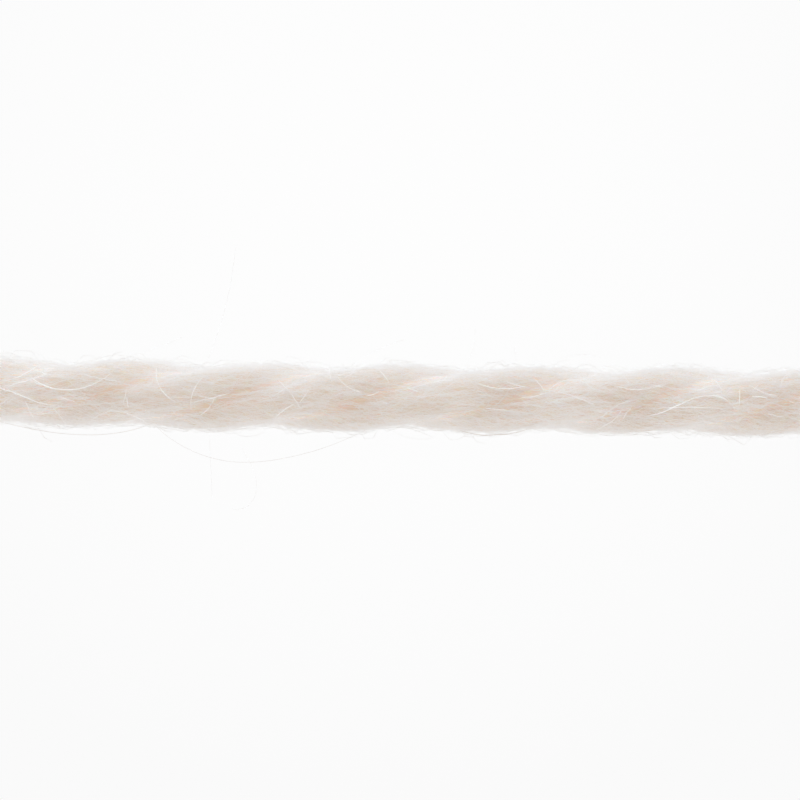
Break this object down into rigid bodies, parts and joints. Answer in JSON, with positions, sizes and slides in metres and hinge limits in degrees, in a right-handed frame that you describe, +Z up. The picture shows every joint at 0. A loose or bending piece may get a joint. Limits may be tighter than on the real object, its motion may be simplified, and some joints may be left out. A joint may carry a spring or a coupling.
{
  "type": "cut length of plied knitting yarn",
  "caption": "Short straight length of soft spun wool knitting yarn, its plies twisted round each other to the left, with plain cut ends, lying flat.",
  "frame": {"origin": "under the middle of the yarn, on the surface that it lies on", "axes": "+X along the yarn, +Y across it, +Z up from the surface"},
  "size_m": [0.06, 0.0045, 0.004],
  "materials": {
    "spun_wool": "undyed woollen-spun wool in pale ecru, matt and softly fuzzy"
  },
  "bodies": {
    "root": {"ply_1": "spun_wool", "ply_2": "spun_wool", "ply_3": "spun_wool"}
  },
  "joints": []
}
